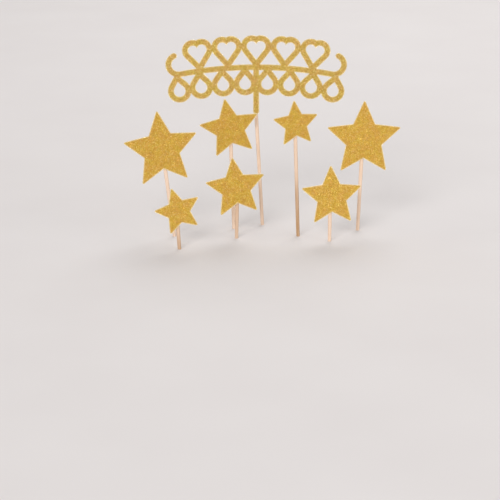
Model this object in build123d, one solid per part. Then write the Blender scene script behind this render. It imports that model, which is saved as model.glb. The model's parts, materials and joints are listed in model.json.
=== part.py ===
from build123d import *
import os
from dataclasses import dataclass
from math import cos, degrees, radians, sin

# A set of cake picks: one cut-out card sign and seven card stars, each glued to a pointed stick.
# Millimetres. The cake's top is z = 0, the front faces -Y, and the sign's stick enters at the origin.

# Card, stick and glue
CARD_THICKNESS = 0.5
STICK_HEAD_RADIUS = 1.3
STICK_SHANK_RADIUS = 1.2
POINT_LENGTH = 7.0
POINT_RADIUS = 0.25
GLUE_FILM = 0.1
GLUE_RADIUS = 2.8
GLUE_SLOPE = 3.0

# Stars: radius to the tips before they are blunted, and the other sizes as shares of it
LARGE = 26.7
MEDIUM = 21.5
SMALL = 16.6
TIP_BLUNTING = 1.3
STAR_POINTS = 5
STAR_WAIST = 0.476
STAR_STICK_RISE = 0.35
STAR_GLUE_LOW = -0.4
STAR_GLUE_HIGH = 0.25
STAR_STICK_LENGTH = 100.0

# Sign: a band bent to a shallow arch, with hearts on it, drops under it and a stem in the middle
STROKE = 4.2
ARCH_RADIUS = 270.0
BAND_HEIGHT = 31.8
BAND_HALF_LENGTH = 50.5
WELD_SINK = 1.5
HEART_COUNT = 5
HEART_PITCH = 18.5
HEART_LOBE_RADIUS = 7.3
HEART_LOBE_SPREAD = 2.9
HEART_FLANK = 37.7
DROP_COUNT = 8
DROP_PITCH = 15.2
DROP_RADIUS = 7.9
DROP_FLANK = 38.8
CURL_RADIUS = 6.5
CURL_SWEEP = 165.0
SIGN_FOOT_HEIGHT = 77.3
SIGN_LEAN = 3.2
SIGN_STICK_RISE = 27.0
SIGN_GLUE_LOW = 12.0
SIGN_GLUE_HIGH = 25.0
SIGN_STICK_LENGTH = 150.0

CARD_BACK = STICK_HEAD_RADIUS + GLUE_FILM


@dataclass(frozen=True)
class Pick:
    """How a pick stands. Heights are along the stick, from the cake's top, and angles in degrees.

    The stick enters the cake at base, leans to the left and back, and is turned about itself.
    The card is rolled on it, anticlockwise from the front, and shifted to the right.
    """

    name: str
    base: tuple[float, float]
    height: float
    lean: float
    back: float = 0.0
    turn: float = 0.0
    roll: float = 0.0
    shift: float = 0.0

    def stand(self) -> Location:
        """From the pick's own frame, with the stick upright, to where it stands."""
        return Pos(*self.base) * Rot(X=-self.back) * Rot(Y=-self.lean) * Rot(Z=self.turn)

    def on_stick(self) -> Location:
        """From a card's own outline to its place and turn on the upright stick."""
        return Plane.XZ.offset(CARD_BACK) * Pos(self.shift, self.height) * Rot(Z=self.roll)


@dataclass(frozen=True)
class Star(Pick):
    """A pick with a star card, of a radius measured to its tips."""

    radius: float = MEDIUM


SIGN = Pick("sign", (0, 0), height=SIGN_FOOT_HEIGHT, lean=SIGN_LEAN, roll=-SIGN_LEAN)

STARS = (
    Star("left_large_star", (-58.5, -26.5), 58.6, lean=7.5, back=7, turn=14, roll=-1, shift=-1, radius=LARGE),
    Star("left_small_star", (-54.3, -55), 25.3, lean=3.9, back=6, turn=8, roll=13, shift=1, radius=SMALL),
    Star("centre_upper_star", (-19.2, -9), 69.6, lean=1.9, turn=6, roll=8, shift=-0.3),
    Star("centre_lower_star", (-17.3, -30.8), 33.9, lean=-0.9, back=6, turn=9, roll=7.8, shift=-1.2),
    Star("right_small_star", (23.5, -26.2), 75.4, lean=1.8, back=5, turn=12, roll=3, shift=0.2, radius=SMALL),
    Star("right_large_star", (63.8, -12.5), 61.7, lean=-2.6, back=6, turn=5, roll=2, shift=0.5, radius=LARGE),
    Star("right_medium_star", (44, -37.6), 29.9, lean=-0.6, back=7, turn=3, roll=2.9, shift=0.8),
)


def star_outline(radius: float) -> Sketch:
    """A five-pointed star with one tip up and its tips slightly blunted."""
    step = 180 / STAR_POINTS
    corners = []
    for i in range(2 * STAR_POINTS):
        reach = radius * STAR_WAIST if i % 2 else radius
        angle = radians(90 + i * step)
        corners.append((reach * cos(angle), reach * sin(angle)))
    star = Polygon(*corners, align=None)
    tips = star.vertices().sort_by_distance((0, 0))[-STAR_POINTS:]
    return chamfer(tips, TIP_BLUNTING)


def heart(lobe_radius: float) -> Sketch:
    """Two round lobes about y = 0 and straight flanks, tangent to them, down to a tip."""
    flank = radians(HEART_FLANK)
    tip = -(lobe_radius + HEART_LOBE_SPREAD * cos(flank)) / sin(flank)
    touch_x = HEART_LOBE_SPREAD + lobe_radius * cos(flank)
    touch_y = -lobe_radius * sin(flank)
    shape = Polygon(
        (0, tip),
        (touch_x, touch_y),
        (HEART_LOBE_SPREAD, 0),
        (-HEART_LOBE_SPREAD, 0),
        (-touch_x, touch_y),
        align=None,
    )
    for side in (-1, 1):
        shape += Pos(side * HEART_LOBE_SPREAD, 0) * Circle(lobe_radius)
    return shape


def drop(radius: float) -> Sketch:
    """A round drop about the origin, with straight flanks up to its tip."""
    flank = radians(DROP_FLANK)
    touch_x = radius * cos(flank)
    touch_y = radius * sin(flank)
    peak = Polygon((0, radius / sin(flank)), (-touch_x, touch_y), (touch_x, touch_y), align=None)
    return Circle(radius) + peak


def on_arch(along: float, rise: float) -> Location:
    """A place beside the arch, square to it: along from its middle, rise above its centre line."""
    angle = along / ARCH_RADIUS
    reach = ARCH_RADIUS + rise
    return Pos(reach * sin(angle), BAND_HEIGHT - ARCH_RADIUS + reach * cos(angle)) * Rot(Z=-degrees(angle))


def evenly(count: int, pitch: float) -> list[float]:
    """Places of a centred row."""
    return [(i - (count - 1) / 2) * pitch for i in range(count)]


def sign_outline() -> Sketch:
    """The whole openwork, standing on the foot of its stem at the origin."""
    half_angle = degrees(BAND_HALF_LENGTH / ARCH_RADIUS)
    arch = CenterArc((0, BAND_HEIGHT - ARCH_RADIUS), ARCH_RADIUS, 90 - half_angle, 2 * half_angle)
    outline = SlotArc(arch, STROKE)
    stem_length = BAND_HEIGHT + STROKE / 2
    outline += Pos(0, stem_length / 2) * SlotOverall(stem_length, STROKE, rotation=90)
    for side in (-1, 1):
        curl = CenterArc((0, CURL_RADIUS), CURL_RADIUS, -90, side * CURL_SWEEP)
        outline += on_arch(side * BAND_HALF_LENGTH, 0) * SlotArc(curl, STROKE)
    flank = radians(HEART_FLANK)
    heart_tip = (HEART_LOBE_RADIUS + HEART_LOBE_SPREAD * cos(flank)) / sin(flank)
    hearts = [on_arch(along, heart_tip - WELD_SINK) for along in evenly(HEART_COUNT, HEART_PITCH)]
    drop_tip = DROP_RADIUS / sin(radians(DROP_FLANK))
    drops = [on_arch(along, WELD_SINK - drop_tip) for along in evenly(DROP_COUNT, DROP_PITCH)]
    for place in hearts:
        outline += place * heart(HEART_LOBE_RADIUS)
    for place in drops:
        outline += place * drop(DROP_RADIUS)
    for place in hearts:
        outline -= place * heart(HEART_LOBE_RADIUS - STROKE)
    for place in drops:
        outline -= place * drop(DROP_RADIUS - STROKE)
    return outline


def card(outline: Sketch, pick: Pick) -> Part:
    """Flat card in front of the stick."""
    return extrude(pick.on_stick() * outline, CARD_THICKNESS)


def stick(length: float, top: float, card_foot: float) -> Part:
    """Skewer along Z: a point, a straight shank in the cake, then a slight taper up to the card."""
    tip = top - length
    point = Polyline((0, tip), (POINT_RADIUS, tip), (STICK_SHANK_RADIUS, tip + POINT_LENGTH))
    shank = Line(point @ 1, (STICK_SHANK_RADIUS, 0))
    taper = Spline(shank @ 1, (STICK_HEAD_RADIUS, card_foot), tangents=[(0, 1), (0, 1)])
    head = Polyline(taper @ 1, (STICK_HEAD_RADIUS, top), (0, top), point @ 0)
    return revolve(Plane.XZ * make_face([point, shank, taper, head]), Axis.Z)


def glue(low: float, high: float, stick_solid: Part) -> Part:
    """Bead round the stick's head, flat against the card and sloping off at both ends."""
    side = Polygon(
        (-CARD_BACK, low),
        (-CARD_BACK, high),
        (GLUE_RADIUS, high - GLUE_SLOPE),
        (GLUE_RADIUS, low + GLUE_SLOPE),
        align=None,
    )
    block = extrude(Plane.YZ * side, GLUE_RADIUS, both=True)
    bead = extrude(Pos(0, 0, low) * Circle(GLUE_RADIUS), high - low)
    return (bead & block) - stick_solid


def sign_pick() -> dict[str, Part]:
    """The sign's three pieces in the pick's own frame."""
    foot = SIGN_FOOT_HEIGHT
    skewer = stick(SIGN_STICK_LENGTH, foot + SIGN_STICK_RISE, foot)
    return {
        "card": card(sign_outline(), SIGN),
        "stick": skewer,
        "glue": glue(foot + SIGN_GLUE_LOW, foot + SIGN_GLUE_HIGH, skewer),
    }


def star_pick(star: Star) -> dict[str, Part]:
    """A star's three pieces in the pick's own frame."""
    top = star.height + STAR_STICK_RISE * star.radius
    glue_low = star.height + STAR_GLUE_LOW * star.radius
    glue_high = star.height + STAR_GLUE_HIGH * star.radius
    skewer = stick(STAR_STICK_LENGTH, top, star.height - STAR_WAIST * star.radius)
    return {
        "card": card(star_outline(star.radius), star),
        "stick": skewer,
        "glue": glue(glue_low, glue_high, skewer),
    }


def write(pick: Pick, pieces: dict[str, Part]) -> None:
    """One file for each piece, where the pick stands."""
    for piece, solid in pieces.items():
        export_step(pick.stand() * solid, f"parts/{pick.name}_{piece}.step")


os.makedirs("parts", exist_ok=True)
write(SIGN, sign_pick())
for star in STARS:
    write(star, star_pick(star))
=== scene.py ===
"""Looks of a cake topper set: a cut-out glitter sign and seven glitter stars on wooden sticks."""

import json
import logging
import math
from collections.abc import Callable, Iterator
from contextlib import contextmanager
from dataclasses import dataclass
from enum import Enum

import bmesh
import bpy
import numpy as np
from mathutils import Matrix, Vector
from mathutils.kdtree import KDTree


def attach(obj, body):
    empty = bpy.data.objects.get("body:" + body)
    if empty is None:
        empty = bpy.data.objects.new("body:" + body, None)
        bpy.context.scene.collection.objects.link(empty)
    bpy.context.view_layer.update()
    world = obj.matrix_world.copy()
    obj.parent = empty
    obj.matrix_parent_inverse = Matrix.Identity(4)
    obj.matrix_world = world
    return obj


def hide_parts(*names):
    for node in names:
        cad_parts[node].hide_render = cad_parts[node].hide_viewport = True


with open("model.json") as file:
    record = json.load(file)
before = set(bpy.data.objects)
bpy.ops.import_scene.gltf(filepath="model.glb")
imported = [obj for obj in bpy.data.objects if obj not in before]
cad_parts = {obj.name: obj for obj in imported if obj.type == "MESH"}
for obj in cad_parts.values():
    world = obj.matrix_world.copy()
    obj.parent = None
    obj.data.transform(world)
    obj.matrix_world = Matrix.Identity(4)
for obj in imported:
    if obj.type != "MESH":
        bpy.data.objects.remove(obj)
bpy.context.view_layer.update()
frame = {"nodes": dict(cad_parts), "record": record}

MM = 0.001
LOG = logging.getLogger("cake_topper")
SIGN = "sign"
NODE_WELD = 0.001 * MM
NODE_FLATNESS = math.radians(0.5)
ALONG = 0.7  # cosine above which one direction counts as along another

Colour = tuple[float, float, float, float]
Span = tuple[float, float]
Piece = bpy.types.Object
Socket = bpy.types.NodeSocket


def srgb(red: int, green: int, blue: int) -> Colour:
    """Turn a colour as seen on screen into the linear one that shaders take.

    Args:
        red: Red from 0 to 255.
        green: Green from 0 to 255.
        blue: Blue from 0 to 255.

    Returns:
        Linear red, green and blue, and full alpha.
    """
    shares = [channel / 255 for channel in (red, green, blue)]
    linear = [s / 12.92 if s <= 0.04045 else ((s + 0.055) / 1.055) ** 2.4 for s in shares]
    return (linear[0], linear[1], linear[2], 1.0)


class Slot(Enum):
    """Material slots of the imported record, one for each kind of stock."""

    CARD = "glitter_card"
    WOOD = "wood"
    GLUE = "hot_melt_glue"


class Side(Enum):
    """The two faces of a card, by the way that they lie from its middle."""

    FRONT = 1
    BACK = -1


def alone(piece: Piece) -> None:
    """Select one piece, make it active and deselect the rest.

    Args:
        piece: The piece to work on.
    """
    bpy.ops.object.select_all(action="DESELECT")
    piece.select_set(True)
    bpy.context.view_layer.objects.active = piece


@contextmanager
def editing(piece: Piece) -> Iterator[None]:
    """Stay in edit mode on one piece, with nothing selected in it at first.

    Args:
        piece: The piece to edit.
    """
    alone(piece)
    bpy.ops.object.mode_set(mode="EDIT")
    bpy.ops.mesh.select_mode(type="VERT")
    bpy.ops.mesh.select_all(action="DESELECT")
    yield
    bpy.ops.object.mode_set(mode="OBJECT")


def select_points(piece: Piece, wanted: Callable[[Vector], bool]) -> None:
    """Select the points of a piece in edit mode by their place, and what lies between them.

    Args:
        piece: The piece in edit mode.
        wanted: Says of a place whether its point is selected.
    """
    shape = bmesh.from_edit_mesh(piece.data)
    for point in shape.verts:
        point.select_set(wanted(point.co))
    shape.select_flush(True)
    bmesh.update_edit_mesh(piece.data)


def select_lines(piece: Piece, wanted: Callable[[Vector, Vector], bool]) -> None:
    """Select the edges of a piece in edit mode by where they start and end.

    Args:
        piece: The piece in edit mode.
        wanted: Says of an edge's two ends whether it is selected.
    """
    bpy.ops.mesh.select_mode(type="EDGE")
    shape = bmesh.from_edit_mesh(piece.data)
    for line in shape.edges:
        line.select_set(wanted(line.verts[0].co, line.verts[1].co))
    bmesh.update_edit_mesh(piece.data)


def new_piece(name: str) -> Piece:
    """Name the primitive that was just added.

    Args:
        name: The piece's name.

    Returns:
        The piece.
    """
    piece = bpy.context.object
    piece.name = name
    piece.data.name = name
    return piece


def copy_of_node(node: str, name: str) -> Piece:
    """Copy a solid's mesh into a new piece, with its loose triangles joined up.

    Args:
        node: The solid's name.
        name: The new piece's name.

    Returns:
        The new piece.
    """
    piece = bpy.data.objects.new(name, frame["nodes"][node].data.copy())
    piece.data.materials.clear()
    bpy.context.scene.collection.objects.link(piece)
    with editing(piece):
        bpy.ops.mesh.select_all(action="SELECT")
        bpy.ops.mesh.remove_doubles(threshold=NODE_WELD)
        bpy.ops.mesh.dissolve_limited(angle_limit=NODE_FLATNESS)
    return piece


def settle(piece: Piece, stand: Matrix) -> None:
    """Move a piece from its pick's own frame to where it stands, with its place in its mesh.

    Args:
        piece: The piece, modelled in its pick's own frame.
        stand: From that frame to the model's.
    """
    alone(piece)
    piece.matrix_world = stand
    bpy.ops.object.transform_apply(location=True, rotation=True, scale=True)


def use_modifier(piece: Piece, kind: str, **settings: object) -> None:
    """Add a modifier to a piece and apply it.

    Args:
        piece: The piece.
        kind: The modifier's type.
        **settings: The modifier's own settings.
    """
    alone(piece)
    modifier = piece.modifiers.new(kind.lower(), kind)
    for setting, value in settings.items():
        setattr(modifier, setting, value)
    bpy.ops.object.modifier_apply(modifier=modifier.name)


def dress_piece(piece: Piece, material: bpy.types.Material, body: str, node: str) -> None:
    """Give a finished piece its only material and tell where it belongs.

    Args:
        piece: The piece.
        material: Its material.
        body: The body that it rides on.
        node: The solid that it stands for.
    """
    piece.data.materials.clear()
    piece.data.materials.append(material)
    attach(piece, body)
    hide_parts(node)


class Graph:
    """A shader tree that nodes are added to in one line each."""

    FIRST_COLOUR = 6
    SECOND_COLOUR = 7
    MIXED_COLOUR = 2

    def __init__(self, tree: bpy.types.NodeTree) -> None:
        """Start on a tree, emptied."""
        self.tree = tree
        self.tree.nodes.clear()

    def add(
        self, kind: str, inputs: dict[str | int, object] | None = None, **settings: object
    ) -> bpy.types.Node:
        """Add a node, set it up, and set or link its inputs.

        Args:
            kind: The node's type, without its ShaderNode prefix.
            inputs: Values, or sockets to link from, by input name or number.
            **settings: The node's own settings.

        Returns:
            The node.
        """
        prefix = "" if kind.startswith("Node") else "ShaderNode"
        node = self.tree.nodes.new(prefix + kind)
        for setting, value in settings.items():
            setattr(node, setting, value)
        for key, value in (inputs or {}).items():
            if isinstance(value, Socket):
                self.tree.links.new(value, node.inputs[key])
            else:
                node.inputs[key].default_value = value
        return node

    def place(self) -> Socket:
        """Give the place on the piece."""
        return self.add("TexCoord").outputs["Object"]

    def attribute(self, name: str, output: str = "Fac") -> Socket:
        """Read what was written on the piece under a name."""
        return self.add("Attribute", attribute_name=name).outputs[output]

    def noise(self, place: Socket, scale: Socket | float, detail: float) -> Socket:
        """Give cloudy noise, finer where the scale is larger and more ragged with more detail."""
        return self.add("TexNoise", {"Vector": place, "Scale": scale, "Detail": detail}).outputs["Fac"]

    def ramp(self, value: Socket, places: tuple[float, ...], colours: tuple[Colour, ...]) -> Socket:
        """Turn a value into colours.

        Args:
            value: The socket that gives the value.
            places: Values from 0 to 1, in rising order.
            colours: The colour at each of them.

        Returns:
            The colour's socket.
        """
        node = self.add("ValToRGB", {"Fac": value})
        elements = node.color_ramp.elements
        while len(elements) < len(places):
            elements.new(1.0)
        for element, place, colour in zip(elements, places, colours):
            element.position = place
            element.color = colour
        return node.outputs["Color"]

    def mix(
        self, share: Socket | float, first: Socket | Colour, second: Socket | Colour, blend: str = "MIX"
    ) -> Socket:
        """Mix two colours.

        Args:
            share: How much of the second colour there is.
            first: The first colour.
            second: The second colour.
            blend: The way in which they are mixed.

        Returns:
            The mixed colour's socket.
        """
        inputs = {"Factor": share, self.FIRST_COLOUR: first, self.SECOND_COLOUR: second}
        node = self.add("Mix", inputs, data_type="RGBA", blend_type=blend)
        return node.outputs[self.MIXED_COLOUR]

    def spread(self, value: Socket, low: float, high: float) -> Socket:
        """Stretch a value so that 0 becomes low and 1 becomes high."""
        return self.add("MapRange", {"Value": value, "To Min": low, "To Max": high}).outputs["Result"]

    def narrow(self, value: Socket, low: float, high: float, most: float = 1.0) -> Socket:
        """Stretch a value so that low becomes 0 and high becomes most, and clamp it there."""
        inputs = {"Value": value, "From Min": low, "From Max": high, "To Max": most}
        return self.add("MapRange", inputs).outputs["Result"]

    def times(self, first: Socket, second: Socket | float) -> Socket:
        """Multiply two values."""
        return self.add("Math", {0: first, 1: second}, operation="MULTIPLY").outputs[0]

    def vector(self, operation: str, *vectors: object, **inputs: object) -> Socket:
        """Work on vectors, or on sockets that give them, with other inputs by name."""
        node = self.add("VectorMath", dict(enumerate(vectors)) | inputs, operation=operation)
        return node.outputs["Vector"]

    def bump(self, height: Socket, distance: float, strength: float = 1.0, **inputs: object) -> Socket:
        """Give a normal that follows a height, with other inputs by name."""
        node = self.add("Bump", {"Height": height, "Distance": distance, "Strength": strength} | inputs)
        return node.outputs["Normal"]

    def surface(self, inputs: dict[str, object]) -> None:
        """Add the material's shader with its inputs, and its output."""
        shader = self.add("BsdfPrincipled", inputs)
        self.add("OutputMaterial", {"Surface": shader.outputs[0]})


def new_group(name: str, inputs: dict[str, str], outputs: dict[str, str]) -> tuple[bpy.types.NodeTree, Graph]:
    """Start a shader node group.

    Args:
        name: The group's name.
        inputs: The types of its inputs, by name.
        outputs: The types of its outputs, by name.

    Returns:
        The group and its graph.
    """
    tree = bpy.data.node_groups.new(name, "ShaderNodeTree")
    for in_out, sockets in (("INPUT", inputs), ("OUTPUT", outputs)):
        for socket, kind in sockets.items():
            tree.interface.new_socket(socket, in_out=in_out, socket_type="NodeSocket" + kind)
    return tree, Graph(tree)


FLAKE_SHUFFLE = (13.7, 17.3, 11.9)
MIDDLE = (0.5, 0.5, 0.5)


def flake_group() -> bpy.types.NodeTree:
    """Make the group of small flat flakes, each with its own random values and its own tilt.

    Returns:
        A group with each flake's tone, gloss and hue, all from 0 to 1, its bump height and its normal.
    """
    inputs = {"Place": "Vector", "Flakes per Metre": "Float", "Surface": "Vector", "Tilt": "Float"}
    outputs = {"Tone": "Float", "Gloss": "Float", "Hue": "Float", "Height": "Float", "Normal": "Vector"}
    tree, graph = new_group("flakes", inputs, outputs)
    given = graph.add("NodeGroupInput").outputs
    cells = graph.add("TexVoronoi", {"Vector": given["Place"], "Scale": given["Flakes per Metre"]}).outputs
    tone, gloss, hue = graph.add("SeparateColor", {"Color": cells["Color"]}).outputs
    shuffled = graph.vector("FRACTION", graph.vector("MULTIPLY", cells["Color"], FLAKE_SHUFFLE))
    lean = graph.vector("SCALE", graph.vector("SUBTRACT", shuffled, MIDDLE), Scale=given["Tilt"])
    normal = graph.vector("NORMALIZE", graph.vector("ADD", given["Surface"], lean))
    values = {"Tone": tone, "Gloss": gloss, "Hue": hue, "Height": cells["Distance"], "Normal": normal}
    graph.add("NodeGroupOutput", values)
    return tree


BROAD_FIBRES = 3.0
THIN_FIBRES = 5.0
THINNESS = 3.1
STREAK_SPAN = (0.3, 0.7)
LINE_SPAN = (0.58, 0.72)


def fibre_group() -> bpy.types.NodeTree:
    """Make the group of fibres, drawn out by the scale of the place that they are given.

    Returns:
        A group with broad streaks, thin dark lines and a bump height, all from 0 to 1.
    """
    outputs = {"Streak": "Float", "Line": "Float", "Height": "Float"}
    tree, graph = new_group("fibres", {"Place": "Vector", "Fineness": "Float"}, outputs)
    given = graph.add("NodeGroupInput").outputs
    broad = graph.noise(given["Place"], given["Fineness"], BROAD_FIBRES)
    thin = graph.noise(given["Place"], graph.times(given["Fineness"], THINNESS), THIN_FIBRES)
    streak = graph.narrow(broad, *STREAK_SPAN)
    line = graph.narrow(thin, *LINE_SPAN)
    graph.add("NodeGroupOutput", {"Streak": streak, "Line": line, "Height": graph.times(streak, thin)})
    return tree


def new_material(name: str) -> tuple[bpy.types.Material, Graph]:
    """Start a material.

    Args:
        name: The material's name.

    Returns:
        The material and its emptied graph.
    """
    material = bpy.data.materials.new(name)
    material.use_nodes = True
    return material, Graph(material.node_tree)


SOFT_CLOUDS = 1.0
RAGGED_CLOUDS = 2.0


@dataclass(frozen=True)
class GlitterFinish:
    """Gold flakes in a crust, in clumps and drifts of tone, pale along the cut edge: worn to the pale card
    there, and a painted highlight along the edge as well.
    """

    name: str
    deep: Colour
    gold: Colour
    # Colour of the brightest flakes: random tone, and partly painted glints.
    bright_glint: Colour
    copper: Colour
    # Pale colour at the cut edge: worn card, and also a painted highlight along the edge.
    worn_and_highlight: Colour
    flake: float = 0.3 * MM
    tilt: float = 0.5
    gold_span: Span = (0.3, 0.75)
    copper_span: Span = (0.72, 0.9)
    copper_most: float = 0.6
    clump: float = 2.2 * MM
    clump_span: Span = (0.3, 0.7)
    clump_shade: Colour = (0.86, 0.83, 0.75, 1.0)
    clump_light: Colour = (1.0, 1.0, 1.0, 1.0)
    drift: float = 4.5 * MM
    drift_span: Span = (0.35, 0.65)
    drift_red: Colour = (1.0, 0.92, 0.95, 1.0)
    drift_green: Colour = (0.99, 1.0, 0.8, 1.0)
    # How much of the pale edge colour shows at the very edge: wear, and also painted highlight.
    wear_and_highlight: float = 0.9
    metallic: float = 0.35
    roughness: Span = (0.24, 0.52)
    bump: float = 0.05 * MM
    bump_strength: float = 0.35

    def material(self, flakes: bpy.types.NodeTree) -> bpy.types.Material:
        """Make the material, which reads each crust's own rim attribute.

        Args:
            flakes: The group of flakes.

        Returns:
            The material.
        """
        material, graph = new_material(self.name)
        place = graph.place()
        surface = graph.add("NewGeometry").outputs["Normal"]
        inputs = {"Place": place, "Flakes per Metre": 1 / self.flake, "Surface": surface, "Tilt": self.tilt}
        flake = graph.add("Group", inputs, node_tree=flakes).outputs
        # From deep to bright flakes: random tone, with the brightest flakes partly painted glints.
        golds = (self.deep, self.gold, self.gold, self.bright_glint)
        tone = graph.ramp(flake["Tone"], (0.0, *self.gold_span, 1.0), golds)
        copper_share = graph.narrow(flake["Hue"], *self.copper_span, self.copper_most)
        tinted = graph.mix(copper_share, tone, self.copper)
        clump = graph.noise(place, 1 / self.clump, RAGGED_CLOUDS)
        shade = graph.ramp(clump, self.clump_span, (self.clump_shade, self.clump_light))
        clumped = graph.mix(1.0, tinted, shade, "MULTIPLY")
        drift = graph.noise(place, 1 / self.drift, SOFT_CLOUDS)
        cast = graph.ramp(drift, self.drift_span, (self.drift_red, self.drift_green))
        mottled = graph.mix(1.0, clumped, cast, "MULTIPLY")
        # Pale edge from the rim attribute: wear to the card, and also a painted highlight along the cut edge.
        wear_and_highlight = graph.spread(graph.attribute("rim"), self.wear_and_highlight, 0.0)
        bumpy = graph.bump(flake["Height"], self.bump, self.bump_strength, Normal=flake["Normal"])
        graph.surface(
            {
                "Base Color": graph.mix(wear_and_highlight, mottled, self.worn_and_highlight),
                "Metallic": self.metallic,
                "Roughness": graph.spread(flake["Gloss"], *self.roughness),
                "Normal": bumpy,
            }
        )
        return material


@dataclass(frozen=True)
class PaperFinish:
    """Uncoated pale card, with soft fibres."""

    name: str
    light: Colour
    dark: Colour
    fibre: float = 0.3 * MM
    roughness: Span = (0.78, 0.92)
    bump: float = 0.012 * MM

    def material(self, fibres: bpy.types.NodeTree) -> bpy.types.Material:
        """Make the material.

        Args:
            fibres: The group of fibres.

        Returns:
            The material.
        """
        material, graph = new_material(self.name)
        inputs = {"Place": graph.place(), "Fineness": 1 / self.fibre}
        fibre = graph.add("Group", inputs, node_tree=fibres).outputs
        graph.surface(
            {
                "Base Color": graph.mix(fibre["Streak"], self.light, self.dark),
                "Roughness": graph.spread(fibre["Streak"], *self.roughness),
                "Normal": graph.bump(fibre["Height"], self.bump),
            }
        )
        return material


@dataclass(frozen=True)
class WoodFinish:
    """Bare, sanded wood with its grain along the stick, browner where a stick is marked so."""

    name: str
    light: Colour
    dark: Colour
    line: Colour
    brown: Colour
    fibre: float = 0.9 * MM
    stretch: float = 0.035
    line_most: float = 0.55
    brown_span: Span = (0.65, 1.0)
    roughness: Span = (0.55, 0.72)
    bump: float = 0.04 * MM

    def material(self, fibres: bpy.types.NodeTree) -> bpy.types.Material:
        """Make the material, which reads each stick's own grain and brownness attributes.

        Args:
            fibres: The group of fibres.

        Returns:
            The material.
        """
        material, graph = new_material(self.name)
        grain = graph.attribute("grain", "Vector")
        drawn = graph.add("Mapping", {"Vector": grain, "Scale": (1, 1, self.stretch)}).outputs[0]
        inputs = {"Place": drawn, "Fineness": 1 / self.fibre}
        fibre = graph.add("Group", inputs, node_tree=fibres).outputs
        streaked = graph.mix(fibre["Streak"], self.light, self.dark)
        lined = graph.mix(graph.spread(fibre["Line"], 0.0, self.line_most), streaked, self.line)
        unevenness = graph.spread(fibre["Streak"], *self.brown_span)
        brown_share = graph.times(graph.attribute("brownness"), unevenness)
        graph.surface(
            {
                "Base Color": graph.mix(brown_share, lined, self.brown),
                "Roughness": graph.spread(fibre["Streak"], *self.roughness),
                "Normal": graph.bump(fibre["Height"], self.bump),
            }
        )
        return material


@dataclass(frozen=True)
class GlueFinish:
    """Milky hot-melt glue with a wet gloss."""

    name: str
    clear: Colour
    cloudy: Colour
    cloud: float = 2.6 * MM
    cloud_span: Span = (0.3, 0.7)
    roughness: Span = (0.14, 0.3)
    bump: float = 0.08 * MM
    bump_strength: float = 0.4
    ior: float = 1.48
    milkiness: float = 0.5
    glow: tuple[float, float, float] = (1.0, 0.95, 0.85)
    glow_depth: float = 1.2 * MM

    def material(self) -> bpy.types.Material:
        """Make the material.

        Returns:
            The material.
        """
        material, graph = new_material(self.name)
        cloud = graph.noise(graph.place(), 1 / self.cloud, SOFT_CLOUDS)
        graph.surface(
            {
                "Base Color": graph.ramp(cloud, self.cloud_span, (self.clear, self.cloudy)),
                "Roughness": graph.spread(cloud, *self.roughness),
                "IOR": self.ior,
                "Subsurface Weight": self.milkiness,
                "Subsurface Radius": self.glow,
                "Subsurface Scale": self.glow_depth,
                "Normal": graph.bump(cloud, self.bump, self.bump_strength),
            }
        )
        return material


@dataclass(frozen=True)
class FloorFinish:
    """Plain pale floor."""

    name: str
    light: Colour
    dark: Colour
    patch: float = 90 * MM
    roughness: float = 0.8

    def material(self) -> bpy.types.Material:
        """Make the material.

        Returns:
            The material.
        """
        material, graph = new_material(self.name)
        patch = graph.noise(graph.place(), 1 / self.patch, RAGGED_CLOUDS)
        colour = graph.mix(patch, self.light, self.dark)
        graph.surface({"Base Color": colour, "Roughness": self.roughness})
        return material


STAR_GLITTER = GlitterFinish(
    "star_glitter",
    deep=srgb(192, 146, 50),
    gold=srgb(212, 172, 61),
    bright_glint=srgb(240, 216, 138),
    copper=srgb(220, 159, 72),
    worn_and_highlight=srgb(246, 232, 190),
)
SIGN_GLITTER = GlitterFinish(
    "sign_glitter",
    deep=srgb(181, 140, 61),
    gold=srgb(206, 174, 81),
    bright_glint=srgb(242, 225, 162),
    copper=srgb(215, 159, 85),
    worn_and_highlight=srgb(246, 234, 196),
    flake=0.38 * MM,
)
PAPER = PaperFinish("card_core", light=srgb(248, 243, 230), dark=srgb(240, 232, 214))
WOOD = WoodFinish(
    "bare_wood",
    light=srgb(244, 218, 196),
    dark=srgb(232, 201, 174),
    line=srgb(190, 148, 112),
    brown=srgb(180, 139, 95),
)
GLUE = GlueFinish("melted_glue", clear=srgb(244, 238, 219), cloudy=srgb(249, 246, 236))
FLOOR = FloorFinish("pale_floor", light=srgb(226, 221, 219), dark=srgb(220, 214, 212))


@dataclass(frozen=True)
class Materials:
    """The finishes as materials, made once."""

    glitter: bpy.types.Material
    paper: bpy.types.Material
    wood: bpy.types.Material
    glue: bpy.types.Material


def stick_end(name: str) -> dict:
    """Give the record's mount at the lower end of a pick's stick."""
    return next(m for m in frame["record"]["mounts"] if m["name"] == f"{name}_stick_end")


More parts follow.
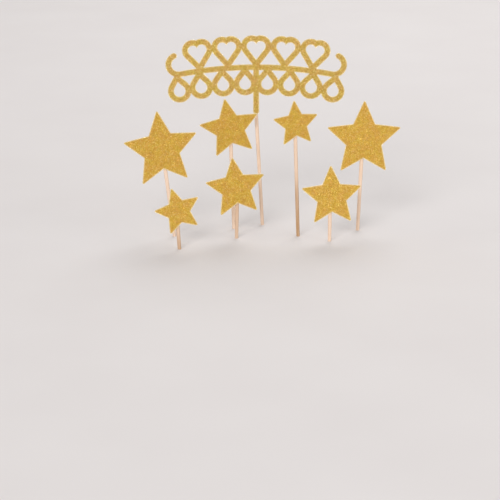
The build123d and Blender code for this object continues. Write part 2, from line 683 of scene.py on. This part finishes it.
@dataclass(frozen=True)
class Stance:
    """Where a pick stands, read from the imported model.

    Its own frame has the stick's middle line as Z, from the floor up, and the card faces -Y.
    """

    name: str
    foot: Vector
    up: Vector
    front: Vector

    @classmethod
    def read(cls, name: str) -> "Stance":
        """Read a pick's stance from its stick's mount and its card's face.

        Args:
            name: The pick's name.

        Returns:
            The stance.
        """
        mount = stick_end(name)
        up = -Vector(mount["axis"]).normalized()
        middle = Vector(mount["pos_m"])
        foot = middle - up * (middle.z / up.z)
        facing = Vector()
        for face in frame["nodes"][f"{name}_card"].data.polygons:
            if face.normal.y < -ALONG:
                facing += face.normal * face.area
        front = (facing - up * facing.dot(up)).normalized()
        return cls(name, foot, up, front)

    @property
    def body(self) -> str:
        """The name of the body that the pick's pieces ride on."""
        return f"{self.name}_pick"

    def stand(self) -> Matrix:
        """Give the way from the pick's own frame to the model's.

        Returns:
            The matrix.
        """
        back = -self.front
        right = back.cross(self.up)
        turn = Matrix((right, back, self.up)).transposed()
        return Matrix.Translation(self.foot) @ turn.to_4x4()

    def span(self, node: str) -> tuple[Vector, Vector]:
        """Give the box of one of the pick's solids in the pick's own frame.

        Args:
            node: The solid's name.

        Returns:
            The lowest and the highest corner.
        """
        to_own = self.stand().inverted()
        points = np.array([to_own @ v.co for v in frame["nodes"][node].data.vertices])
        return Vector(points.min(0)), Vector(points.max(0))


@dataclass
class GlitterCard:
    """A die-cut card: a pale core and a crust of glitter on its front. This one is the sign's."""

    stance: Stance
    seed: int
    coat: float = 0.16 * MM
    grain: float = 0.6 * MM
    scatter: float = 0.2 * MM
    relief: float = 0.05 * MM
    cut_reach: float = 1 * MM
    rim: float = 0.7 * MM
    rim_steps: int = 4
    edge: float = 0.06 * MM
    edge_steps: int = 2

    @property
    def node(self) -> str:
        """The name of the card's solid."""
        return f"{self.stance.name}_card"

    def middle(self) -> float:
        """Give how far the middle of the card's thickness is in front of the stick's middle line."""
        low, high = self.stance.span(self.node)
        return -(low.y + high.y) / 2

    def outline(self, name: str) -> Piece:
        """Copy the card's solid as the die cut it."""
        return copy_of_node(self.node, name)

    def select_side(self, piece: Piece, side: Side) -> None:
        """Select one face of the card's outline in edit mode, with its edge, and nothing else.

        Args:
            piece: The outline.
            side: Which face.
        """
        middle = self.middle()
        foot, front = self.stance.foot, self.stance.front
        bpy.ops.mesh.select_all(action="DESELECT")
        select_points(piece, lambda place: side.value * ((place - foot).dot(front) - middle) > 0)

    def build_core(self) -> Piece:
        """Make the core: the card's outline, set back by the crust, with its back edges eased.

        Returns:
            The core.
        """
        core = self.outline(f"{self.stance.name}_card_core")
        with editing(core):
            self.select_side(core, Side.FRONT)
            bpy.ops.transform.translate(value=-self.stance.front * self.coat)
            self.select_side(core, Side.BACK)
            bpy.ops.mesh.region_to_loop()
            bpy.ops.mesh.bevel(offset=self.edge, segments=self.edge_steps)
        return core

    def sheet(self) -> Piece:
        """Make an uncut sheet of glitter, a little larger than the card, in the pick's own frame.

        Returns:
            The sheet.
        """
        low, high = self.stance.span(self.node)
        margin = 2 * self.grain
        width = high.x - low.x + 2 * margin
        height = high.z - low.z + 2 * margin
        columns = round(width / self.grain)
        rows = round(height / self.grain)
        bpy.ops.object.select_all(action="DESELECT")
        bpy.ops.mesh.primitive_grid_add(
            x_subdivisions=columns, y_subdivisions=rows, size=1, rotation=(math.pi / 2, 0, 0)
        )
        sheet = new_piece(f"{self.stance.name}_glitter")
        sheet.scale = (width, height, 1)
        bpy.ops.object.transform_apply(location=True, rotation=True, scale=True)
        depth = self.coat - self.relief
        flat = self.relief / self.scatter
        with editing(sheet):
            bpy.ops.mesh.select_all(action="SELECT")
            bpy.ops.mesh.poke()
            bpy.ops.transform.vertex_random(offset=self.scatter, seed=self.seed)
            bpy.ops.transform.resize(value=(1, flat, 1), center_override=(0, 0, 0))
            bpy.ops.mesh.select_non_manifold(
                extend=False, use_wire=False, use_multi_face=False, use_non_contiguous=False, use_verts=False
            )
            bpy.ops.mesh.extrude_edges_move(TRANSFORM_OT_translate={"value": (0, depth, 0)})
            bpy.ops.transform.resize(value=(1, 0, 1), center_override=(0, depth, 0))
            bpy.ops.mesh.edge_face_add()
            bpy.ops.mesh.select_all(action="SELECT")
            bpy.ops.mesh.normals_make_consistent(inside=False)
            bpy.ops.transform.translate(
                value=((low.x + high.x) / 2, low.y + self.relief, (low.z + high.z) / 2)
            )
        return sheet

    def build_glitter(self) -> Piece:
        """Make the crust: a sheet of glitter, cut to the card's outline.

        Returns:
            The crust.
        """
        glitter = self.sheet()
        settle(glitter, self.stance.stand())
        cutter = self.outline("cutter")
        with editing(cutter):
            for side in Side:
                self.select_side(cutter, side)
                bpy.ops.transform.translate(value=self.stance.front * side.value * self.cut_reach)
        use_modifier(glitter, "BOOLEAN", operation="INTERSECT", object=cutter, solver="MANIFOLD")
        self.mark_rim(glitter, cutter)
        bpy.data.objects.remove(cutter)
        return glitter

    def mark_rim(self, glitter: Piece, cutter: Piece) -> None:
        """Write on the crust how far in from the cut edge it is, from 0 at the edge to 1.

        Args:
            glitter: The crust.
            cutter: What it was cut with, whose walls follow the outline.
        """
        to_own = self.stance.stand().inverted()
        step = self.rim / self.rim_steps
        samples = []
        points = [to_own @ v.co for v in cutter.data.vertices]
        for wall in cutter.data.polygons:
            if abs(wall.normal.dot(self.stance.front)) > ALONG:
                continue
            start, end = (points[i] for i in wall.edge_keys[0])
            for near, far in wall.edge_keys[1:]:
                if (points[far].xz - points[near].xz).length > (end.xz - start.xz).length:
                    start, end = points[near], points[far]
            count = max(1, round((end - start).length / step))
            samples += [start.lerp(end, i / count) for i in range(count)]
        tree = KDTree(len(samples))
        for i, place in enumerate(samples):
            tree.insert((place.x, 0, place.z), i)
        tree.balance()
        attribute = glitter.data.attributes.new("rim", "FLOAT", "POINT")
        for vertex, value in zip(glitter.data.vertices, attribute.data):
            place = to_own @ vertex.co
            value.value = min(1.0, tree.find((place.x, 0, place.z))[2] / self.rim)

    def dress(self, core: Piece, glitter: Piece, materials: Materials) -> None:
        """Give the core and the crust their materials and tell what they stand for."""
        dress_piece(core, materials.paper, self.stance.body, self.node)
        dress_piece(glitter, materials.glitter, self.stance.body, self.node)


@dataclass
class StarCard(GlitterCard):
    """A star, whose tips the die leaves round."""

    tip_round: float = 0.48 * MM
    tip_steps: int = 3
    tip_share: float = 0.8

    def outline(self, name: str) -> Piece:
        """Copy the star's solid and round its tips.

        Args:
            name: The copy's name.

        Returns:
            The copy.
        """
        star = super().outline(name)
        points = [v.co for v in star.data.vertices]
        centre = sum(points, Vector()) / len(points)
        reach = max((place - centre).length for place in points) * self.tip_share
        front = self.stance.front

        def at_tip(start: Vector, end: Vector) -> bool:
            """Say whether an edge runs through the card at a tip."""
            along = (end - start).normalized()
            return abs(along.dot(front)) > ALONG and (start - centre).length > reach

        with editing(star):
            select_lines(star, at_tip)
            bpy.ops.mesh.bevel(offset=self.tip_round, segments=self.tip_steps)
        return star


@dataclass(frozen=True)
class Browning:
    """How much browner a stick is made, from 0 to 1, at the floor and at the card, and where it changes.

    The change is from one share to another of the height from the floor to the card.
    """

    foot: float = 0.05
    card: float = 0.05
    change: Span = (0.0, 1.0)


# Sticks made browner than the rest, by the share at the floor and at the card.
BROWNED_STICKS = {
    "left_small_star": Browning(foot=0.8, card=0.45),
    "centre_lower_star": Browning(foot=0.4, card=0.55),
    "right_small_star": Browning(foot=1.0, card=0.15, change=(0.45, 0.65)),
}


@dataclass
class WoodenStick:
    """A round skewer with a sharpened lower end and its grain along it."""

    stance: Stance
    seed: int
    browning: Browning
    sides: int = 24
    fibre: float = 0.035 * MM
    wander: float = 0.03 * MM
    ring_pitch: float = 6 * MM
    point_length: float = 7 * MM
    point_radius: float = 0.25 * MM
    chamfer: float = 0.2 * MM
    crease: float = math.radians(35)

    @property
    def node(self) -> str:
        """The name of the stick's solid."""
        return f"{self.stance.name}_stick"

    def build(self) -> Piece:
        """Make the stick from an uneven ring that is drawn out upwards and sharpened below.

        Returns:
            The stick.
        """
        shank = stick_end(self.stance.name)["dims"]["r_mm"] * MM
        low, high = self.stance.span(self.node)
        head = high.x
        card_low = self.stance.span(f"{self.stance.name}_card")[0].z
        shoulder = low.z + self.point_length
        draws = np.random.default_rng(self.seed)
        bpy.ops.object.select_all(action="DESELECT")
        bpy.ops.mesh.primitive_circle_add(
            vertices=self.sides, radius=shank - self.fibre, fill_type="NGON", location=(0, 0, shoulder)
        )
        stick = new_piece(f"{self.stance.name}_stick_wood")
        bpy.ops.object.transform_apply(location=True, rotation=True, scale=True)
        rings = round((high.z - self.chamfer - shoulder) / self.ring_pitch)
        rise = (high.z - self.chamfer - shoulder) / rings
        with editing(stick):
            bpy.ops.mesh.select_all(action="SELECT")
            bpy.ops.transform.vertex_random(offset=self.fibre, seed=self.seed)
            bpy.ops.transform.resize(value=(1, 1, 0), center_override=(0, 0, shoulder))
            radius = shank
            for ring in range(1, rings + 1):
                level = shoulder + ring * rise
                share = min(1.0, max(0.0, level / card_low))
                wanted = shank + (head - shank) * share
                bpy.ops.mesh.extrude_region_move(TRANSFORM_OT_translate={"value": (0, 0, rise)})
                scale = wanted / radius * (1 - draws.uniform(0, self.wander / shank))
                bpy.ops.transform.resize(value=(scale, scale, 1), center_override=(0, 0, level))
                radius *= scale
            bpy.ops.mesh.extrude_region_move(TRANSFORM_OT_translate={"value": (0, 0, self.chamfer)})
            scale = (head - self.chamfer) / head
            bpy.ops.transform.resize(value=(scale, scale, 1), center_override=(0, 0, high.z))
            bpy.ops.mesh.select_all(action="DESELECT")
            select_points(stick, lambda place: place.z < shoulder + rise / 2)
            bpy.ops.mesh.extrude_region_move(TRANSFORM_OT_translate={"value": (0, 0, -self.point_length)})
            scale = self.point_radius / shank
            bpy.ops.transform.resize(value=(scale, scale, 1), center_override=(0, 0, low.z))
            bpy.ops.mesh.select_all(action="SELECT")
            bpy.ops.mesh.normals_make_consistent(inside=False)
        self.mark_grain(stick, draws)
        self.mark_brownness(stick, card_low)
        bpy.ops.object.shade_smooth_by_angle(angle=self.crease)
        settle(stick, self.stance.stand())
        return stick

    def mark_grain(self, stick: Piece, draws: np.random.Generator) -> None:
        """Write on the stick where its wood lay in the plank, from which its grain is drawn.

        Args:
            stick: The stick, in the pick's own frame.
            draws: The stick's random draws.
        """
        shift = Vector(draws.uniform(-1, 1, 3))
        attribute = stick.data.attributes.new("grain", "FLOAT_VECTOR", "POINT")
        for vertex, value in zip(stick.data.vertices, attribute.data):
            value.vector = vertex.co + shift

    def mark_brownness(self, stick: Piece, card_low: float) -> None:
        """Write on the stick how much browner it is made, from the floor up to the card.

        Args:
            stick: The stick, in the pick's own frame.
            card_low: The height of the card's lowest point.
        """
        attribute = stick.data.attributes.new("brownness", "FLOAT", "POINT")
        foot, card = self.browning.foot, self.browning.card
        start, end = self.browning.change
        for vertex, value in zip(stick.data.vertices, attribute.data):
            share = min(1.0, max(0.0, (vertex.co.z / card_low - start) / (end - start)))
            value.value = foot + (card - foot) * share

    def dress(self, stick: Piece, materials: Materials) -> None:
        """Give the stick its material and tell what it stands for."""
        dress_piece(stick, materials.wood, self.stance.body, self.node)


@dataclass
class GlueBead:
    """A bead of hot-melt glue that holds the stick's head to the back of the card."""

    stance: Stance
    seed: int
    cuts: int = 7
    roundness: float = 0.55
    lump: float = 0.32
    smoothing: int = 5
    softness: float = 0.5
    foot_height: float = 0.5 * MM
    foot_spread: float = 1.25
    weld: float = 0.01 * MM
    crease: float = math.radians(50)

    @property
    def node(self) -> str:
        """The name of the bead's solid."""
        return f"{self.stance.name}_glue"

    def build(self, stick: Piece) -> Piece:
        """Make the bead from a rounded, lumpy block that spreads a little where it meets the card.

        Args:
            stick: The stick that goes through it, where it stands.

        Returns:
            The bead.
        """
        low, high = self.stance.span(self.node)
        bpy.ops.object.select_all(action="DESELECT")
        bpy.ops.mesh.primitive_cube_add(size=2)
        bead = new_piece(f"{self.stance.name}_glue_bead")
        with editing(bead):
            bpy.ops.mesh.select_all(action="SELECT")
            bpy.ops.mesh.subdivide(number_cuts=self.cuts)
        use_modifier(
            bead, "CAST", cast_type="SPHERE", factor=self.roundness, size=1, use_radius_as_size=False
        )
        with editing(bead):
            bpy.ops.mesh.select_all(action="SELECT")
            bpy.ops.transform.vertex_random(offset=self.lump, seed=self.seed)
            for _ in range(self.smoothing):
                bpy.ops.mesh.vertices_smooth(factor=self.softness)
        self.fit(bead, low, high)
        with editing(bead):
            self.cut_flat(low.y + self.foot_height)
            bpy.ops.mesh.extrude_region_move(
                TRANSFORM_OT_translate={"value": (0, -2 * self.foot_height, 0)}
            )
            middle = (low + high) / 2
            bpy.ops.transform.resize(
                value=(self.foot_spread, 1, 1), center_override=(middle.x, low.y, middle.z)
            )
        use_modifier(bead, "SUBSURF", levels=1, render_levels=1)
        with editing(bead):
            self.cut_flat(low.y)
            bpy.ops.mesh.select_all(action="SELECT")
            bpy.ops.mesh.normals_make_consistent(inside=False)
        settle(bead, self.stance.stand())
        self.cut_hole(bead, stick)
        bpy.ops.object.shade_smooth_by_angle(angle=self.crease)
        return bead

    def cut_hole(self, bead: Piece, stick: Piece) -> None:
        """Cut the stick's hole through the bead and line it with one plain wall from end to end.

        Args:
            bead: The bead, where it stands.
            stick: The stick that goes through it, where it stands.
        """
        use_modifier(bead, "BOOLEAN", operation="DIFFERENCE", object=stick, solver="MANIFOLD")
        reach = self.stance.span(f"{self.stance.name}_stick")[1].x + self.weld
        foot, up = self.stance.foot, self.stance.up

        def on_stick(place: Vector) -> bool:
            """Say whether a point is on the stick."""
            return (place - foot).cross(up).length < reach

        with editing(bead):
            bpy.ops.mesh.select_all(action="SELECT")
            bpy.ops.mesh.remove_doubles(threshold=self.weld)
            bpy.ops.mesh.select_all(action="DESELECT")
            select_points(bead, on_stick)
            bpy.ops.mesh.delete(type="FACE")
            bpy.ops.mesh.select_non_manifold()
            bpy.ops.mesh.bridge_edge_loops()
            bpy.ops.mesh.select_all(action="SELECT")
            bpy.ops.mesh.quads_convert_to_tris(quad_method="BEAUTY", ngon_method="BEAUTY")
            bpy.ops.mesh.normals_make_consistent(inside=False)

    @staticmethod
    def cut_flat(level: float) -> None:
        """Cut the bead in edit mode flat, square to Y, and leave the flat selected.

        Args:
            level: How far back from the stick's middle line the cut is.
        """
        bpy.ops.mesh.select_all(action="SELECT")
        bpy.ops.mesh.bisect(
            plane_co=(0, level, 0), plane_no=(0, -1, 0), use_fill=True, clear_outer=True
        )

    def fit(self, bead: Piece, low: Vector, high: Vector) -> None:
        """Scale the whole block so that its rear half fills the box of the bead's solid.

        Args:
            bead: The block about the origin.
            low: The box's lowest corner, in the pick's own frame.
            high: The box's highest corner.
        """
        points = np.array([v.co for v in bead.data.vertices])
        reach = points.max(0)
        fall = points.min(0)
        size = high - low
        wanted = Vector((size.x / self.foot_spread, 2 * size.y, size.z))
        scale = [wanted[i] / (reach[i] - fall[i]) for i in range(3)]
        centre = Vector(((low.x + high.x) / 2, high.y - reach[1] * scale[1], high.z - reach[2] * scale[2]))
        alone(bead)
        bead.scale = scale
        bead.location = centre
        bpy.ops.object.transform_apply(location=True, rotation=True, scale=True)

    def dress(self, bead: Piece, materials: Materials) -> None:
        """Give the bead its material and tell what it stands for."""
        dress_piece(bead, materials.glue, self.stance.body, self.node)


@dataclass
class Pick:
    """One pick: a glitter card, a stick and the glue between them."""

    name: str
    seed: int
    materials: Materials
    stick_seeds: int = 100
    bead_seeds: int = 200

    def build(self) -> list[Piece]:
        """Make and dress the pick's pieces.

        Returns:
            The pieces.
        """
        stance = Stance.read(self.name)
        card = GlitterCard(stance, self.seed) if self.name == SIGN else StarCard(stance, self.seed)
        core = card.build_core()
        glitter = card.build_glitter()
        card.dress(core, glitter, self.materials)
        browning = BROWNED_STICKS.get(self.name, Browning())
        stick_maker = WoodenStick(stance, self.seed + self.stick_seeds, browning)
        stick = stick_maker.build()
        stick_maker.dress(stick, self.materials)
        bead_maker = GlueBead(stance, self.seed + self.bead_seeds)
        bead = bead_maker.build(stick)
        bead_maker.dress(bead, self.materials)
        return [core, glitter, stick, bead]


@dataclass(frozen=True)
class Softbox:
    """A square soft light, aimed at the picks, whose grid keeps its light within a spread."""

    name: str
    place: tuple[float, float, float]
    size: float
    power: float
    spread: float = math.pi

    def build(self, aim: Vector) -> None:
        """Set up the light.

        Args:
            aim: The point that it faces.
        """
        bpy.ops.object.select_all(action="DESELECT")
        bpy.ops.object.light_add(type="AREA", location=self.place)
        light = bpy.context.object
        light.name = self.name
        light.data.size = self.size
        light.data.energy = self.power
        light.data.spread = self.spread
        light.rotation_euler = (aim - Vector(self.place)).to_track_quat("-Z", "Y").to_euler()


@dataclass
class Studio:
    """The floor that the sticks stand in, the lights and the camera."""

    floor_size: float = 12.0
    camera_place: tuple[float, float, float] = (-0.0084, -1.2837, 0.3891)
    camera_tilt: float = math.radians(72.4)
    camera_lens: float = 142.56
    sky: Colour = (0.92, 0.92, 0.93, 1.0)
    sky_strength: float = 0.47
    aim: tuple[float, float, float] = (0.0, -0.02, 0.08)
    lights: tuple[Softbox, ...] = (
        Softbox("key_light", (-1.0, -2.9, 1.82), 1.8, 23.0, math.radians(100)),
        Softbox("fill_light", (1.4, -0.6, 0.8), 1.2, 6.0),
        Softbox("back_light", (0.25, 1.1, 1.3), 0.9, 10.0),
    )

    def build(self) -> None:
        """Set up the floor, the world, the lights and the camera."""
        bpy.ops.object.select_all(action="DESELECT")
        bpy.ops.mesh.primitive_plane_add(size=self.floor_size)
        floor = new_piece("floor")
        floor.data.materials.append(FLOOR.material())
        scene = bpy.context.scene
        scene.view_settings.view_transform = "Standard"
        scene.world = bpy.data.worlds.new("studio")
        scene.world.use_nodes = True
        graph = Graph(scene.world.node_tree)
        sky = graph.add("Background", {"Color": self.sky, "Strength": self.sky_strength})
        graph.add("OutputWorld", {"Surface": sky.outputs[0]})
        for light in self.lights:
            light.build(Vector(self.aim))
        bpy.ops.object.select_all(action="DESELECT")
        bpy.ops.object.camera_add(location=self.camera_place, rotation=(self.camera_tilt, 0, 0))
        camera = bpy.context.object
        camera.name = "camera"
        camera.data.lens = self.camera_lens
        scene.camera = camera


def pick_names() -> list[str]:
    """Give the picks' names, the sign's first, from the bodies that they ride on."""
    return [body.removesuffix("_pick") for body in frame["record"]["behaviour"]["bodies"]]


def main() -> None:
    """Build the studio and every pick, and log each piece."""
    logging.basicConfig(level=logging.INFO, format="%(message)s")
    flakes = flake_group()
    fibres = fibre_group()
    paper = PAPER.material(fibres)
    wood = WOOD.material(fibres)
    glue = GLUE.material()
    sign_materials = Materials(SIGN_GLITTER.material(flakes), paper, wood, glue)
    star_materials = Materials(STAR_GLITTER.material(flakes), paper, wood, glue)
    Studio().build()
    for seed, name in enumerate(pick_names()):
        materials = sign_materials if name == SIGN else star_materials
        for piece in Pick(name, seed, materials).build():
            LOG.info("%s: %d faces", piece.name, len(piece.data.polygons))


if __name__ == "__main__":
    main()
